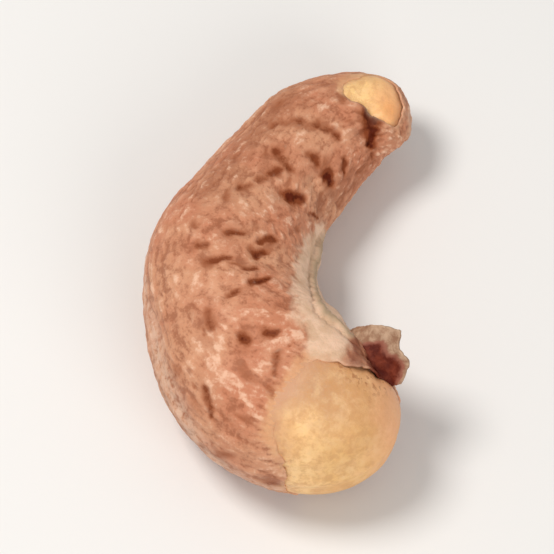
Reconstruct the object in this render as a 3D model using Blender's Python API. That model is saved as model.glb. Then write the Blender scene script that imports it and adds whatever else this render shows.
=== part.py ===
"""A cashew kernel in its papery skin, lying on one cheek, at its real size.

Metres, +Z up. The origin is on the surface that the nut lies on, under the middle of its box.
The long way is along Y: the narrow tip is at +Y, the broad lobe at -Y, and the crook opens to +X.
There are two pieces. The kernel is solid. The skin is a thin coat all round it, worn through in
patches where the kernel shows, with one torn flap that curls away beside the crook.
"""

import math

import bmesh
import bpy
import numpy as np
from mathutils import Vector

MM = 0.001

# Driving dimensions, in millimetres
SKIN_WALL = 0.32
SKIN_GAP = 0.13
FLAT_DEPTH = 0.25
TIP_CAP = 3.3
LOBE_CAP = 5.4
# The line through the middle of the nut, from the tip to the lobe:
# x, y, half the width across the bend, half the thickness, how far the underside is lifted
STATIONS = (
    (8.1, 10.3, 3.00, 2.7, 1.3),
    (5.3, 10.0, 3.15, 3.0, 1.1),
    (2.0, 7.8, 3.95, 3.6, 0.5),
    (-1.1, 4.3, 4.20, 4.2, 0.1),
    (-2.6, 0.7, 4.80, 4.8, 0.0),
    (-2.8, -3.3, 5.35, 5.2, 0.0),
    (-1.7, -6.8, 5.80, 5.4, 0.0),
    (0.6, -9.3, 5.80, 5.3, 0.0),
    (3.8, -10.4, 5.30, 5.2, 0.1),
    (7.6, -10.0, 4.60, 4.9, 0.2),
)

# Shape of the cross-section
CHEEK_SQUARENESS = 2.25
VENTRAL_PINCH = 0.10
LUMP_HEIGHT = 0.11

# Raised lines on the skin: the seam down the back and the pale band in the crook
SEAM_HEIGHT = 0.16
SEAM_HALF_WIDTH = 0.80
BAND_HEIGHT = 0.22
BAND_HALF_WIDTH = 1.15

# Hollows pressed into the nut: share of the way along, degrees round from the back over the
# upper cheek, then radius and depth in millimetres
HOLLOWS = (
    (0.105, 125.0, 0.9, 0.45),
    (0.265, 128.0, 1.1, 0.30),
    (0.358, 112.0, 1.0, 0.30),
    (0.540, 104.0, 1.4, 0.28),
    (0.715, 82.0, 1.2, 0.25),
    (0.620, 20.0, 1.6, 0.30),
    (0.330, 322.0, 1.3, 0.28),
)

# Mesh fineness
KERNEL_RINGS, KERNEL_SIDES = 44, 28
SKIN_RINGS, SKIN_SIDES = 56, 36
EDGE_CROWDING = 0.25

# Worn patches: share of the way along, degrees round from the back over the upper cheek,
# and the three half sizes: along the nut, across it and through the skin
PATCHES = (
    ("tip_patch", 0.075, 76.0, (2.6, 2.4, 1.7)),
    ("lobe_patch", 0.915, 42.0, (5.8, 5.5, 5.5)),
    ("back_patch", 0.47, -34.0, (2.4, 1.5, 1.3)),
    ("under_patch", 0.72, 226.0, (1.8, 1.3, 1.2)),
)
PATCH_RINGS, PATCH_SIDES = 12, 20
PATCH_RAGGEDNESS = 0.06

# The torn flap beside the crook: the ends of its root, share along and degrees round,
# then how far it stands out, how thick it is and how far its edge leans over
FLAP_ROOT = ((0.915, 158.0), (0.990, 114.0))
FLAP_REACH = 1.9
FLAP_THICKNESS = 0.40
FLAP_LEAN = 40.0
FLAP_STEPS, FLAP_ACROSS = 5, 10

KERNEL_COLOUR = (0.80, 0.60, 0.30, 1.0)
SKIN_COLOUR = (0.52, 0.28, 0.19, 1.0)


def natural_spline(knots, values):
    """The smooth curve through values at knots that is straight at both ends, as a function."""
    knots, values = np.asarray(knots, float), np.asarray(values, float)
    step = np.diff(knots)
    slope = np.diff(values, axis=0) / step[:, None]
    size = len(knots)
    matrix = np.eye(size)
    right = np.zeros_like(values)
    for i in range(1, size - 1):
        matrix[i, i - 1 : i + 2] = step[i - 1], 2 * (step[i - 1] + step[i]), step[i]
        right[i] = 6 * (slope[i] - slope[i - 1])
    bend = np.linalg.solve(matrix, right)

    def at(x):
        i = int(np.clip(np.searchsorted(knots, x) - 1, 0, size - 2))
        a, b, h = knots[i + 1] - x, x - knots[i], step[i]
        return (
            (bend[i] * a**3 + bend[i + 1] * b**3) / (6 * h)
            + (values[i] / h - bend[i] * h / 6) * a
            + (values[i + 1] / h - bend[i + 1] * h / 6) * b
        )

    return at


STATION_TABLE = np.array(STATIONS)
STATION_KNOTS = np.concatenate(
    [[0.0], np.cumsum(np.linalg.norm(np.diff(STATION_TABLE[:, :2], axis=0), axis=1))]
)
LENGTH = STATION_KNOTS[-1]
middle_line = natural_spline(STATION_KNOTS, STATION_TABLE)


def bump(distance, half_width):
    """A smooth hump, 1 in the middle and nearly 0 beyond half_width."""
    return math.exp(-((distance / half_width) ** 2) * 2)


def hollowed(along, around):
    """How deep the pressed hollows are here."""
    depth = 0
    for place, degrees, radius, deepest in HOLLOWS:
        turn = (around - math.radians(degrees) + math.pi) % (2 * math.pi) - math.pi
        girth = middle_line(place * LENGTH)[2]
        depth += deepest * bump(math.hypot((along - place) * LENGTH, turn * girth), radius)
    return depth


def nut_point(along, around, inset, lines=False):
    """A point of the nut's surface in millimetres, set in by inset.

    along runs from 0 at the tip to 1 at the lobe. around is in radians: 0 on the back, a right
    angle on the upper cheek and a half turn in the crook. lines adds the seam and the band.
    """
    place = inset + (LENGTH - 2 * inset) * along
    x, y, half_width, half_thickness, lift = middle_line(place)
    before, after = middle_line(place - 0.05), middle_line(place + 0.05)
    heading = math.atan2(after[1] - before[1], after[0] - before[0])
    to_tip = min((place - inset) / (TIP_CAP - inset), 1.0)
    to_lobe = min((LENGTH - inset - place) / (LOBE_CAP - inset), 1.0)
    cap = math.sqrt(max(1 - (1 - to_tip) ** 2, 0.0) * max(1 - (1 - to_lobe) ** 2, 0.0))
    power = 2 / CHEEK_SQUARENESS
    across = math.copysign(abs(math.cos(around)) ** power, math.cos(around))
    upward = math.copysign(abs(math.sin(around)) ** power, math.sin(around))
    upward *= 1 - VENTRAL_PINCH * max(-across, 0.0) ** 2
    lump = LUMP_HEIGHT * (
        math.sin(2 * around + 0.33 * place) + 0.7 * math.sin(3 * around - 0.5 * place + 1)
    ) - hollowed(place / LENGTH, around)
    raised = lump
    if lines:
        back = abs(math.sin(around / 2)) * 2 * half_width
        crook = abs(math.cos(around / 2)) * 2 * half_width
        raised += SEAM_HEIGHT * bump(back, SEAM_HALF_WIDTH)
        raised += BAND_HEIGHT * bump(crook, BAND_HALF_WIDTH)
    sideways = (half_width - inset + raised) * cap * across
    height = (half_thickness - inset + lump) * cap * upward
    centre = half_thickness - FLAT_DEPTH + lift
    outward = Vector((math.sin(heading), -math.cos(heading)))
    return Vector((x, y, 0)) + Vector(
        (outward.x * sideways, outward.y * sideways, max(centre + height, inset))
    )


def nut_normal(along, around):
    """The direction straight out of the skin, from two short steps along its surface."""
    here = nut_point(along, around, 0)
    forward = nut_point(along + 0.004, around, 0) - here
    round_it = nut_point(along, around + 0.02, 0) - here
    normal = forward.cross(round_it).normalized()
    middle = Vector((*middle_line(LENGTH * along)[:2], here.z))
    return normal if normal.dot(here - middle) > 0 else -normal


def material(name, colour, roughness):
    made = bpy.data.materials.new(name)
    made.use_nodes = True
    shader = made.node_tree.nodes["Principled BSDF"]
    shader.inputs["Base Color"].default_value = colour
    shader.inputs["Roughness"].default_value = roughness
    shader.inputs["Metallic"].default_value = 0.0
    return made


def object_from(name, shape, finish=None):
    """An object of this bmesh, whose points are in millimetres."""
    for vertex in shape.verts:
        vertex.co *= MM
    shape.normal_update()
    bmesh.ops.recalc_face_normals(shape, faces=shape.faces)
    mesh = bpy.data.meshes.new(name)
    shape.to_mesh(mesh)
    shape.free()
    mesh.shade_smooth()
    made = bpy.data.objects.new(name, mesh)
    bpy.context.scene.collection.objects.link(made)
    if finish:
        mesh.materials.append(finish)
    return made


def nut_shape(rings, sides, inset, lines=False):
    """A ball drawn out into the nut: its poles are the tip and the lobe's end."""
    shape = bmesh.new()
    bmesh.ops.create_uvsphere(shape, u_segments=sides, v_segments=rings, radius=1)
    for vertex in shape.verts:
        along = 0.5 - 0.5 * max(-1.0, min(1.0, vertex.co.z))
        turn = math.atan2(vertex.co.y, vertex.co.x)
        around = turn - EDGE_CROWDING * math.sin(2 * turn)
        vertex.co = nut_point(along, around, inset, lines)
    return shape


def cutter(name, shape):
    made = object_from(name, shape)
    made.hide_render = True
    made.display_type = "WIRE"
    return made


def patch_shape(number, along, degrees, sizes):
    """A ragged pad that sits in the skin, to cut one worn patch out of it."""
    around = math.radians(degrees)
    centre = nut_point(along, around, 0)
    up = nut_normal(along, around)
    forward = nut_point(along + 0.01, around, 0) - nut_point(along - 0.01, around, 0)
    forward = (forward - up * forward.dot(up)).normalized()
    side = up.cross(forward)
    shape = bmesh.new()
    bmesh.ops.create_uvsphere(
        shape, u_segments=PATCH_SIDES, v_segments=PATCH_RINGS, radius=1
    )
    for vertex in shape.verts:
        turn = math.atan2(vertex.co.y, vertex.co.x)
        ragged = 1 + PATCH_RAGGEDNESS * (
            math.sin(3 * turn + number) + math.sin(5 * turn + 2 * number) + 0.8 * math.sin(8 * turn)
        )
        vertex.co = (
            centre
            + forward * vertex.co.x * sizes[0] * ragged
            + side * vertex.co.y * sizes[1] * ragged
            + up * vertex.co.z * sizes[2]
        )
    return shape


def flap_sheet(face):
    """One face of the torn flap as rows of points, from its root in the wall to its free edge."""
    (along, degrees), (last_along, last_degrees) = FLAP_ROOT
    columns = []
    for j in range(FLAP_ACROSS + 1):
        share = j / FLAP_ACROSS
        place = along + (last_along - along) * share
        around = math.radians(degrees + (last_degrees - degrees) * share)
        root = nut_point(place, around, SKIN_WALL / 2)
        out = nut_normal(place, around)
        over = out.cross(nut_point(place + 0.005, around, 0) - nut_point(place - 0.005, around, 0))
        over = over.normalized()
        over = over if over.z > 0 else -over
        reach = FLAP_REACH * (0.25 + 0.75 * math.sin(math.pi * share) ** 0.6)
        reach *= 1 + 0.18 * math.sin(11 * share + 1)
        radius = reach / math.radians(FLAP_LEAN)
        column = []
        for i in range(FLAP_STEPS + 1):
            turn = math.radians(FLAP_LEAN) * i / FLAP_STEPS
            middle = root + radius * (out * math.sin(turn) + over * (1 - math.cos(turn)))
            across = over * math.cos(turn) - out * math.sin(turn)
            column.append(middle + across * (FLAP_THICKNESS * face * (1 - 0.3 * i / FLAP_STEPS)))
        columns.append(column)
    return columns


def flap_shape():
    """The torn flap of skin, closed all round."""
    shape = bmesh.new()
    lower, upper = [
        [[shape.verts.new(point) for point in column] for column in flap_sheet(face)]
        for face in (-0.5, 0.5)
    ]
    for sheet in (lower, upper):
        for left, right in zip(sheet, sheet[1:]):
            for i in range(FLAP_STEPS):
                shape.faces.new((left[i], left[i + 1], right[i + 1], right[i]))
    rim = [(0, i) for i in range(FLAP_STEPS)]
    rim += [(j, FLAP_STEPS) for j in range(FLAP_ACROSS)]
    rim += [(FLAP_ACROSS, i) for i in range(FLAP_STEPS, 0, -1)]
    rim += [(j, 0) for j in range(FLAP_ACROSS, 0, -1)]
    for (j, i), (m, k) in zip(rim, rim[1:] + rim[:1]):
        shape.faces.new((lower[j][i], lower[m][k], upper[m][k], upper[j][i]))
    return shape


def add_boolean(target, operation, other):
    modifier = target.modifiers.new(other.name, "BOOLEAN")
    modifier.operation = operation
    modifier.solver = "EXACT"
    modifier.object = other


def make_kernel():
    shape = nut_shape(KERNEL_RINGS, KERNEL_SIDES, SKIN_WALL + SKIN_GAP)
    return object_from("kernel", shape, material("kernel", KERNEL_COLOUR, 0.45))


def make_skin():
    """The coat: the nut's outside, hollowed for the kernel, worn through in patches."""
    skin = object_from(
        "skin",
        nut_shape(SKIN_RINGS, SKIN_SIDES, 0, lines=True),
        material("skin", SKIN_COLOUR, 0.75),
    )
    hollow = cutter("skin_hollow", nut_shape(KERNEL_RINGS, KERNEL_SIDES, SKIN_WALL))
    flap = cutter("skin_flap", flap_shape())
    add_boolean(skin, "UNION", flap)
    add_boolean(skin, "DIFFERENCE", hollow)
    for number, (name, along, degrees, sizes) in enumerate(PATCHES):
        add_boolean(skin, "DIFFERENCE", cutter(name, patch_shape(number, along, degrees, sizes)))
    return skin


def centre_over_origin():
    """Moves everything together, so that the middle of the nut's box is over the origin."""
    bpy.context.view_layer.update()
    graph = bpy.context.evaluated_depsgraph_get()
    corners = [
        Vector(corner)
        for name in ("kernel", "skin")
        for corner in bpy.data.objects[name].evaluated_get(graph).bound_box
    ]
    x, y = [(min(c[k] for c in corners) + max(c[k] for c in corners)) / 2 for k in range(2)]
    for each in bpy.data.objects:
        each.location = (-x, -y, 0)


def main():
    for old in list(bpy.data.objects):
        bpy.data.objects.remove(old)
    make_kernel()
    make_skin()
    centre_over_origin()


main()
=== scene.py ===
"""A roasted cashew kernel in its papery red-brown skin, lying on one cheek on a pale table.

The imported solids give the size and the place. Three pieces stand for them: the skin, torn open over
its lobe and its tip, the flap of it that stands off beside the crook, and the kernel. All are drawn
on the solids' own middle line. Lengths are in millimetres until MM makes metres of them.
"""

import math

import bmesh
import bpy
import numpy as np
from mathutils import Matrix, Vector, noise


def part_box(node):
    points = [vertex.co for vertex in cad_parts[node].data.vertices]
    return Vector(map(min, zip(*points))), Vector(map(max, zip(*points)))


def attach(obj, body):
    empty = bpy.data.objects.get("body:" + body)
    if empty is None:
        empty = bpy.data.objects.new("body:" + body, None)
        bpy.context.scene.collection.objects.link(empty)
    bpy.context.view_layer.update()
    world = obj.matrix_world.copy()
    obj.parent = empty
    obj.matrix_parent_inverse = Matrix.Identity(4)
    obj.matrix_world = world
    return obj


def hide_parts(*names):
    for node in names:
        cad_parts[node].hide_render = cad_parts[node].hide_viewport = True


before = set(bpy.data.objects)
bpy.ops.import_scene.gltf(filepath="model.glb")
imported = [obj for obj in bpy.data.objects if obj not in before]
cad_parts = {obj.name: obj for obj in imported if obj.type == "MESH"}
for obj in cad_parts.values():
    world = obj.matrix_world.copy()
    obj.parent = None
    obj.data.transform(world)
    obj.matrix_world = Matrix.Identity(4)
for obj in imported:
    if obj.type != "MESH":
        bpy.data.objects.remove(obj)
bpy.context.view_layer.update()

MM = 0.001

# The nut's form as the solids have it, in millimetres. Each row is one station of the middle line from
# the tip to the lobe: its x and y, and the half width, half thickness and lift of the nut there.
STATIONS = np.array(
    (
        (8.1, 10.3, 3.00, 2.7, 1.3),
        (5.3, 10.0, 3.15, 3.0, 1.1),
        (2.0, 7.8, 3.95, 3.6, 0.5),
        (-1.1, 4.3, 4.20, 4.2, 0.1),
        (-2.6, 0.7, 4.80, 4.8, 0.0),
        (-2.8, -3.3, 5.35, 5.2, 0.0),
        (-1.7, -6.8, 5.80, 5.4, 0.0),
        (0.6, -9.3, 5.80, 5.3, 0.0),
        (3.8, -10.4, 5.30, 5.2, 0.1),
        (7.6, -10.0, 4.60, 4.9, 0.2),
    )
)
# How deep the flat spot that the nut lies on is cut, and how far the rounding of each end reaches
FLAT_DEPTH = 0.25
TIP_CAP, LOBE_CAP = 3.3, 5.4
CHEEK_SQUARENESS = 2.25
VENTRAL_PINCH = 0.10
LUMP_HEIGHT = 0.11
SOLID_INSET = 0.45
# Share of the way along, degrees round from the back over the upper cheek, radius and depth in mm
HOLLOWS = (
    (0.105, 125.0, 0.9, 0.45),
    (0.265, 128.0, 1.1, 0.30),
    (0.358, 112.0, 1.0, 0.30),
    (0.540, 104.0, 1.4, 0.28),
    (0.715, 82.0, 1.2, 0.25),
    (0.620, 20.0, 1.6, 0.30),
    (0.330, 322.0, 1.3, 0.28),
)

# Where the real nut is a little fuller or, below 0, leaner than the plain form, in the same way
SWELLS = (
    (0.17, 36.0, 3.2, 0.36),
    (0.17, 180.0, 3.0, -0.34),
    (0.46, 22.0, 4.2, 0.40),
    (0.02, 58.0, 2.6, 0.40),
    (0.68, 14.0, 4.2, -0.24),
    (0.05, 190.0, 2.8, -0.55),
    (0.40, 190.0, 3.0, 0.60),
    (0.025, 222.0, 2.0, -1.10),
    (0.010, 188.0, 1.5, -0.80),
    (0.50, 5.0, 3.2, 0.12),
    (0.93, 150.0, 2.6, 0.12),
)
# How far the upper arm and the tip lie aside of the solids, in x and y, and over which shares
ARM_SHIFT, ARM_PLACE, ARM_SPREAD = (-0.26, 0.24), 0.17, 0.12
TIP_SHIFT, TIP_SPREAD = (0.26, 0.0), 0.06
TIP_BLUNTNESS = 2.4
# The low ridge along the back, and the one along the crook
SEAM_HEIGHT, SEAM_HALF_WIDTH = 0.16, 0.80
RIDGE_HEIGHT, RIDGE_HALF_WIDTH = 0.22, 1.15

# The worn patches: share of the way along, degrees round from the back over the upper cheek, and
# the edge of each as (direction in degrees, reach in mm, softness). Direction 0 is towards the lobe
# and 90 is onwards round the nut. A soft edge is rubbed thin, a hard one is torn.
PATCHES = (
    # over the tip
    (
        0.060,
        92.0,
        (
            (-173, 2.05, 0.4),
            (-152, 2.25, 0.4),
            (-133, 2.6, 0.5),
            (-112, 2.7, 0.7),
            (-92, 2.6, 0.8),
            (-75, 2.45, 0.8),
            (-58, 2.45, 0.8),
            (-44, 2.5, 0.8),
            (-26, 2.2, 0.7),
            (-16, 1.5, 0.5),
            (-5, 0.85, 0.3),
            (15, 0.65, 0.2),
            (60, 0.6, 0.2),
            (104, 0.75, 0.2),
            (121, 1.25, 0.3),
            (131, 1.75, 0.4),
            (145, 1.95, 0.4),
            (160, 1.95, 0.4),
        ),
    ),
    # over the lobe
    (
        0.915,
        42.0,
        (
            (-178, 5.25, 0.9),
            (-158, 4.85, 0.5),
            (-137, 5.65, 0.4),
            (-118, 7.0, 0.6),
            (-95, 8.3, 0.2),
            (-65, 7.3, 0.1),
            (-40, 7.2, 0.0),
            (-20, 7.0, 0.1),
            (0, 5.85, 0.4),
            (14, 5.6, 0.5),
            (26, 5.0, 0.3),
            (40, 4.5, 0.1),
            (51, 4.3, 0.0),
            (66, 4.15, 0.0),
            (77, 4.4, 0.1),
            (88, 4.75, 0.3),
            (98, 5.15, 0.6),
            (108, 5.5, 0.85),
            (122, 5.35, 0.95),
            (140, 5.15, 1.0),
            (160, 5.3, 1.0),
        ),
    ),
    # low on the back
    (
        0.47,
        326.0,
        (
            (-120, 2.0, 0.3),
            (-60, 1.3, 0.0),
            (0, 2.2, 0.6),
            (60, 1.5, 0.2),
            (120, 1.4, 0.0),
            (175, 2.3, 0.5),
        ),
    ),
    # underneath, towards the crook
    (
        0.72,
        226.0,
        (
            (-130, 1.3, 0.0),
            (-70, 1.2, 0.2),
            (-10, 1.8, 0.6),
            (50, 1.1, 0.0),
            (110, 1.4, 0.1),
            (170, 1.7, 0.4),
        ),
    ),
)

FAR_FROM_PATCHES = 9.0

SKIN_THICKNESS = 0.13
KERNEL_INSET = 0.17
# Fine gathers of the skin round the lobe's patch, how far a torn edge stands off the kernel and how
# deep a rubbed one is worn, with the width of each, in mm
GATHERS_ROUND, GATHER_HEIGHT, GATHER_PLACE, GATHER_WIDTH = 76, 0.060, 0.9, 0.8
TORN_LIFT, TORN_LIFT_WIDTH, TORN_RIM_WIDTH = 0.10, 0.4, 0.12
RUBBED_DEPTH, RUBBED_WIDTH = 0.20, 0.8


# The middle line and the surface round it


def natural_spline(knots, values):
    """The smooth curve through values at knots that is straight at both ends, as a function."""
    step = np.diff(knots)
    slope = np.diff(values, axis=0) / step[:, None]
    size = len(knots)
    matrix = np.eye(size)
    right = np.zeros_like(values)
    for i in range(1, size - 1):
        matrix[i, i - 1 : i + 2] = step[i - 1], 2 * (step[i - 1] + step[i]), step[i]
        right[i] = 6 * (slope[i] - slope[i - 1])
    bend = np.linalg.solve(matrix, right)

    def at(x):
        x = np.asarray(x, float)
        i = np.clip(np.searchsorted(knots, x) - 1, 0, size - 2)
        a, b, h = (knots[i + 1] - x)[:, None], (x - knots[i])[:, None], step[i][:, None]
        return (
            (bend[i] * a**3 + bend[i + 1] * b**3) / (6 * h)
            + (values[i] / h - bend[i] * h / 6) * a
            + (values[i + 1] / h - bend[i + 1] * h / 6) * b
        )

    return at


KNOTS = np.concatenate([[0.0], np.cumsum(np.linalg.norm(np.diff(STATIONS[:, :2], axis=0), axis=1))])
LENGTH = KNOTS[-1]
middle_line = natural_spline(KNOTS, STATIONS)


def turned(angle):
    """The same angle between minus a half turn and a half turn."""
    return (angle + math.pi) % (2 * math.pi) - math.pi


def dented(along, around, dents):
    """How deep each point lies in the dents of a table, in millimetres."""
    depth = np.zeros_like(along)
    for place, degrees, radius, deepest in dents:
        girth = middle_line([place * LENGTH])[0, 2]
        apart = np.hypot((along - place) * LENGTH, turned(around - math.radians(degrees)) * girth)
        depth += deepest * np.exp(-2 * (apart / radius) ** 2)
    return depth


def rounded_off(place, inset=0.0, bluntness=2.0):
    """How much of its full girth the nut has here: 1 along its length, closing to 0 at both ends."""
    to_tip = np.clip((place - inset) / (TIP_CAP - inset), 0, 1)
    to_lobe = np.clip((LENGTH - inset - place) / (LOBE_CAP - inset), 0, 1)
    tip = (1 - (1 - to_tip) ** bluntness) ** (1 / bluntness)
    return tip * np.sqrt(1 - (1 - to_lobe) ** 2)


def nut_surface(along, around, inset, plain=False):
    """Points of the nut's surface in millimetres, set in by inset, for arrays of the two shares.

    The plain form is the solid's own; the other one has the swells and the two ridges as well.
    along runs from 0 at the tip to 1 at the lobe. around is 0 on the back, a right angle on the
    upper cheek and a half turn in the crook.
    """
    along, around = np.atleast_1d(along).astype(float), np.atleast_1d(around).astype(float)
    place = inset + (LENGTH - 2 * inset) * along
    x, y, half_width, half_thickness, lift = middle_line(place).T
    ahead, behind = middle_line(place + 0.05), middle_line(place - 0.05)
    heading = np.arctan2(ahead[:, 1] - behind[:, 1], ahead[:, 0] - behind[:, 0])
    cap = rounded_off(place, inset, 2.0 if plain else TIP_BLUNTNESS)
    power = 2 / CHEEK_SQUARENESS
    across = np.sign(np.cos(around)) * np.abs(np.cos(around)) ** power
    upward = np.sign(np.sin(around)) * np.abs(np.sin(around)) ** power
    upward = upward * (1 - VENTRAL_PINCH * np.maximum(-across, 0) ** 2)
    lump = LUMP_HEIGHT * (
        np.sin(2 * around + 0.33 * place) + 0.7 * np.sin(3 * around - 0.5 * place + 1)
    ) - dented(place / LENGTH, around, HOLLOWS)
    raised = lump
    if not plain:
        lump = lump + dented(place / LENGTH, around, SWELLS)
        back = np.abs(np.sin(around / 2)) * 2 * half_width
        crook = np.abs(np.cos(around / 2)) * 2 * half_width
        raised = lump + SEAM_HEIGHT * np.exp(-2 * (back / SEAM_HALF_WIDTH) ** 2)
        raised = raised + RIDGE_HEIGHT * np.exp(-2 * (crook / RIDGE_HALF_WIDTH) ** 2)
        on_arm = np.exp(-(((place / LENGTH - ARM_PLACE) / ARM_SPREAD) ** 2))
        on_tip = np.exp(-((place / LENGTH / TIP_SPREAD) ** 2))
        x = x + ARM_SHIFT[0] * on_arm + TIP_SHIFT[0] * on_tip
        y = y + ARM_SHIFT[1] * on_arm + TIP_SHIFT[1] * on_tip
    sideways = (half_width - inset + raised) * cap * across
    height = (half_thickness - inset + lump) * cap * upward
    centre = half_thickness - FLAT_DEPTH + lift
    z = np.maximum(centre + height, inset)
    return np.stack([x + np.sin(heading) * sideways, y - np.cos(heading) * sideways, z], axis=1)


def frame_shift():
    """How far the solids were moved to stand over the origin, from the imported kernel's own box."""
    rings, ring_points = 201, 120
    along = np.repeat(np.linspace(0, 1, rings), ring_points)
    around = np.tile(np.linspace(0, 2 * math.pi, ring_points, endpoint=False), rings)
    drawn = nut_surface(along, around, SOLID_INSET, plain=True)
    low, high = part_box("kernel")
    middle = (drawn.min(axis=0) + drawn.max(axis=0)) / 2
    return np.array([(low[k] + high[k]) / 2 / MM - middle[k] for k in range(2)] + [0.0])


SHIFT = frame_shift()


# The net of quads that the skin and the kernel start from

NET_ROWS = 60
STOREYS = 3
# How far the net of each end reaches from its pole over the surface, in mm
CAP_REACH = 4.2
TIP_ARC = TIP_CAP * math.pi / 2
LOBE_ARC = LOBE_CAP * math.pi / 2
MERIDIAN = TIP_ARC + (LENGTH - TIP_CAP - LOBE_CAP) + LOBE_ARC


def along_at(arc):
    """The share of the way along at this length of arc over the surface from the tip's pole."""
    from_end = MERIDIAN - arc
    place = np.where(
        arc < TIP_ARC,
        TIP_CAP * (1 - np.cos(np.minimum(arc, TIP_ARC) / TIP_CAP)),
        np.where(
            from_end < LOBE_ARC,
            LENGTH - LOBE_CAP * (1 - np.cos(np.minimum(from_end, LOBE_ARC) / LOBE_CAP)),
            TIP_CAP + arc - TIP_ARC,
        ),
    )
    return np.clip(place / LENGTH, 0, 1)


def deselect_all():
    """Leaves edit mode and deselects every object."""
    if bpy.context.mode != "OBJECT":
        bpy.ops.object.mode_set(mode="OBJECT")
    bpy.ops.object.select_all(action="DESELECT")


def quad_ball(name):
    """A cube cut into a fine net: its lid and floor become the nut's ends, its walls the sides.

    Returns the object and, for each of its points, the shares along and around.
    """
    deselect_all()
    bpy.ops.mesh.primitive_cube_add(size=2)
    ball = bpy.context.object
    ball.name = ball.data.name = name
    bpy.ops.object.mode_set(mode="EDIT")
    bpy.ops.mesh.select_mode(type="EDGE")
    bpy.ops.mesh.select_all(action="DESELECT")
    net = bmesh.from_edit_mesh(ball.data)
    for edge in net.edges:
        edge.select = abs(edge.verts[0].co.z - edge.verts[1].co.z) > 1
    bmesh.update_edit_mesh(ball.data)
    bpy.ops.mesh.subdivide(number_cuts=STOREYS - 1)
    bpy.ops.mesh.select_all(action="SELECT")
    bpy.ops.mesh.subdivide(number_cuts=NET_ROWS - 1)
    bpy.ops.object.mode_set(mode="OBJECT")
    cube = points_of(ball)
    square = np.maximum(np.abs(cube[:, 0]), np.abs(cube[:, 1]))
    on_wall = square > 1 - 1e-5
    arc = np.where(
        on_wall,
        CAP_REACH + (MERIDIAN - 2 * CAP_REACH) * (1 - cube[:, 2]) / 2,
        np.where(cube[:, 2] > 0, CAP_REACH * square, MERIDIAN - CAP_REACH * square),
    )
    spread = np.tan(cube[:, :2] / np.maximum(square, 1e-9)[:, None] * math.pi / 4)
    around = np.arctan2(spread[:, 1], spread[:, 0]) + math.pi / 4
    return ball, along_at(arc), around


def points_of(piece):
    """The piece's points, one row each."""
    flat = np.empty(len(piece.data.vertices) * 3)
    piece.data.vertices.foreach_get("co", flat)
    return flat.reshape(-1, 3)


def place_points(piece, points):
    """Sets the piece's points, given in the drawing's own place in millimetres."""
    piece.data.vertices.foreach_set("co", ((points + SHIFT) * MM).ravel())
    piece.data.update()


def normals_of(piece):
    """The directions that point out of the piece at its points, one row each."""
    flat = np.empty(len(piece.data.vertices) * 3)
    piece.data.vertex_normals.foreach_get("vector", flat)
    return flat.reshape(-1, 3)


def keep_values(piece, name, values):
    """Keeps one number for each point, which the materials read by this name."""
    layer = piece.data.attributes.new(name, "FLOAT", "POINT")
    layer.data.foreach_set("value", np.ascontiguousarray(values, np.float32))


def smooth_step(low, high, x):
    """0 up to low, 1 from high on, and a smooth rise between them; low may be the greater."""
    t = np.clip((x - low) / (high - low), 0, 1)
    return t * t * (3 - 2 * t)


# Relief of the skin

# The nut's middling girth, for patterns on it as if it were straight
GIRTH = 4.6

# Sunken marks on the upper cheek: from (share along, degrees) to (share along, degrees), half
# width in mm, strength
PITS = (
    (0.069, 102, 0.088, 140, 0.42, 1.70),
    (0.091, 154, 0.095, 161, 0.25, 0.50),
    (0.181, 137, 0.193, 146, 0.22, 0.80),
    (0.233, 114, 0.236, 119, 0.30, 0.85),
    (0.229, 132, 0.236, 143, 0.36, 1.05),
    (0.344, 120, 0.321, 128, 0.40, 1.10),
    (0.334, 144, 0.315, 158, 0.14, 0.70),
    (0.276, 90, 0.282, 96, 0.34, 0.62),
    (0.292, 101, 0.288, 106, 0.26, 0.65),
    (0.323, 96, 0.309, 98, 0.34, 0.70),
    (0.384, 84, 0.372, 89, 0.26, 0.65),
    (0.350, 92, 0.341, 95, 0.24, 0.60),
    (0.495, 89, 0.488, 96, 0.26, 0.70),
    (0.500, 110, 0.478, 119, 0.28, 0.80),
    (0.529, 105, 0.523, 112, 0.27, 0.95),
    (0.554, 78, 0.551, 89, 0.25, 0.65),
    (0.562, 89, 0.566, 93, 0.14, 0.40),
    (0.609, 99, 0.601, 110, 0.27, 0.95),
    (0.625, 88, 0.625, 91, 0.19, 0.70),
    (0.575, 97, 0.573, 104, 0.22, 0.70),
    (0.523, 70, 0.525, 76, 0.24, 0.55),
    (0.237, 67, 0.203, 82, 0.28, 0.42),
    (0.203, 82, 0.177, 94, 0.30, 0.50),
    (0.177, 94, 0.160, 114, 0.28, 0.60),
    (0.113, 82, 0.104, 80, 0.19, 0.45),
    (0.140, 107, 0.138, 108, 0.11, 0.50),
    (0.708, 80, 0.714, 81, 0.30, 0.85),
    (0.725, 92, 0.737, 95, 0.25, 0.80),
    (0.646, 70, 0.666, 68, 0.30, 0.55),
    (0.664, 63, 0.673, 62, 0.16, 0.40),
    (0.628, 85, 0.625, 90, 0.19, 0.55),
    (0.768, 88, 0.785, 77, 0.22, 0.50),
    (0.727, 40, 0.748, 27, 0.22, 0.60),
    (0.712, 34, 0.714, 33, 0.14, 0.50),
    (0.695, 39, 0.701, 38, 0.14, 0.40),
    (0.793, 67, 0.799, 62, 0.22, 0.45),
    (0.797, 97, 0.800, 97, 0.14, 0.40),
    (0.776, 95, 0.779, 95, 0.11, 0.40),
    (0.684, 24, 0.686, 24, 0.11, 0.40),
    (0.623, 16, 0.628, 17, 0.11, 0.30),
)

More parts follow.
